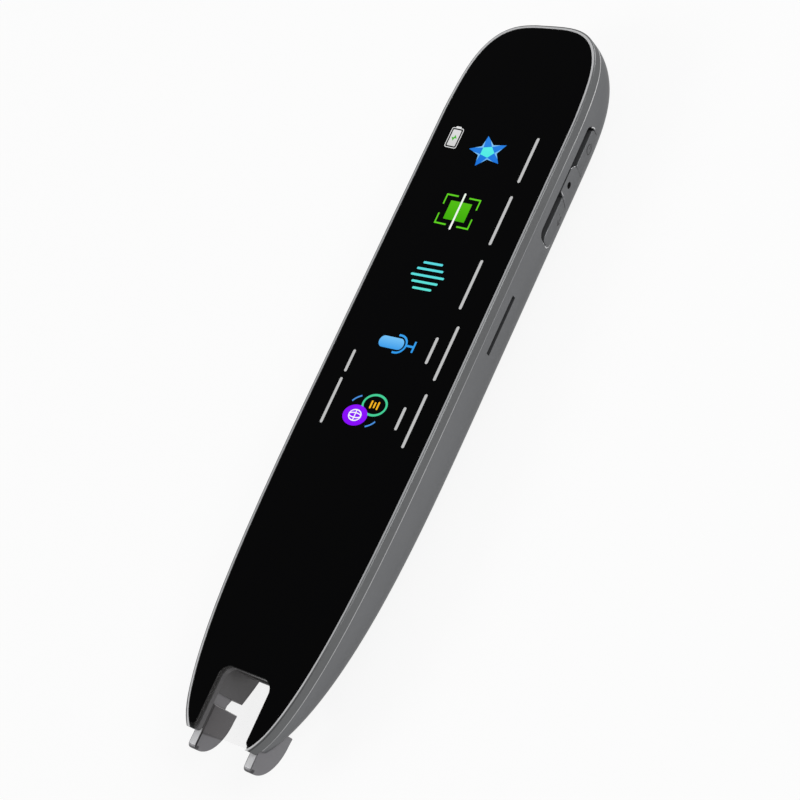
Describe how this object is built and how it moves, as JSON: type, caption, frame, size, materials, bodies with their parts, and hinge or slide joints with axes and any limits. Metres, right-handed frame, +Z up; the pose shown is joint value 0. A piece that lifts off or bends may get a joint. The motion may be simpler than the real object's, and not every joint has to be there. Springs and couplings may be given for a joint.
{
  "type": "scanning translator pen",
  "caption": "Slim scanning pen with a long glass touch face, side keys, a speaker panel on its back, a charging port and a notched camera tip with sprung feet.",
  "frame": {"origin": "middle of the whole length and width, on the plane that the back rests on", "axes": "+X across the pen towards the side keys, +Y along it towards the charging port, +Z up out of the cover glass"},
  "size_m": [0.031, 0.1466, 0.013],
  "materials": {
    "case_grey": "satin gunmetal paint on moulded plastic",
    "frame_grey": "satin gunmetal rim with a bright edge",
    "key_grey": "satin, a shade darker than the case",
    "foot_grey": "fine matt moulding",
    "liner_grey": "fine matt moulding",
    "cover_black": "polished black backed glass",
    "window_clear": "clear moulded window",
    "plate_metal": "brushed along the pen and tinted",
    "panel_black": "polished black",
    "trim_white": "white moulded line",
    "mesh_grey": "fine woven mesh",
    "tape_black": "thin adhesive sheet",
    "foam_black": "soft foam",
    "display": "display module, dark when off",
    "flex_amber": "flexible circuit film",
    "board_green": "circuit board lacquer",
    "screw_steel": "plated steel",
    "can_steel": "thin stamped sheet",
    "chip_black": "moulded package",
    "connector": "pale moulding",
    "port_steel": "drawn steel shell",
    "cell_silver": "foil pouch",
    "switch_black": "moulded switch body",
    "plunger_grey": "moulded",
    "camera_black": "matt black moulding",
    "lens_clear": "coated lens",
    "hood_black": "matt black, keeps stray light out",
    "light_pale": "small light with a pale cap",
    "spring_steel": "drawn wire",
    "cone_black": "pressed cone"
  },
  "bodies": {
    "case": {"front_frame": "frame_grey", "cover_glass": "cover_black", "glass_tape": "tape_black", "display_panel": "display", "display_flex": "flex_amber", "scan_window": "window_clear", "back_shell": "case_grey", "back_plate": "plate_metal", "plate_tape": "tape_black", "speaker_panel": "panel_black", "panel_trim": "trim_white", "speaker_mesh": "mesh_grey", "speaker_gasket": "foam_black", "speaker_frame": "chip_black", "speaker_magnet": "screw_steel", "speaker_cone": "cone_black", "main_board": "board_green", "board_screws": "screw_steel", "shield_can": "can_steel", "processor_chip": "chip_black", "battery_connector": "connector", "port_shell": "port_steel", "port_tongue": "chip_black", "battery": "cell_silver", "battery_pad": "foam_black", "battery_flex": "flex_amber", "side_board": "board_green", "microphone": "can_steel", "microphone_boot": "foam_black", "power_switch": "switch_black", "function_switch": "switch_black", "card_socket": "can_steel", "case_screws": "screw_steel", "antenna": "flex_amber", "camera_board": "board_green", "camera_housing": "camera_black", "lens_barrel": "camera_black", "camera_lens": "lens_clear", "light_board": "board_green", "scan_lights": "light_pale", "scan_hood": "hood_black", "notch_liner": "liner_grey", "trigger_switch": "switch_black", "trigger_board": "board_green", "trigger_springs": "spring_steel"},
    "power_key": {"power_key": "key_grey", "power_plunger": "plunger_grey"},
    "function_key": {"function_key": "key_grey", "function_plunger": "plunger_grey"},
    "trigger": {"left_foot": "foot_grey", "right_foot": "foot_grey", "trigger_yoke": "foot_grey", "trigger_plunger": "plunger_grey"}
  },
  "joints": [
    {"name": "power_key_press", "type": "slide", "parent": "case", "child": "power_key", "axis": [-1, 0, 0], "range_m": [0, 0.00035], "stiffness_N_per_m": 600},
    {"name": "function_key_press", "type": "slide", "parent": "case", "child": "function_key", "axis": [-1, 0, 0], "range_m": [0, 0.00035], "stiffness_N_per_m": 600},
    {"name": "scan_trigger", "type": "slide", "parent": "case", "child": "trigger", "axis": [0, 1, 0], "range_m": [0, 0.0015], "stiffness_N_per_m": 400, "deforming": ["trigger_springs"]}
  ]
}
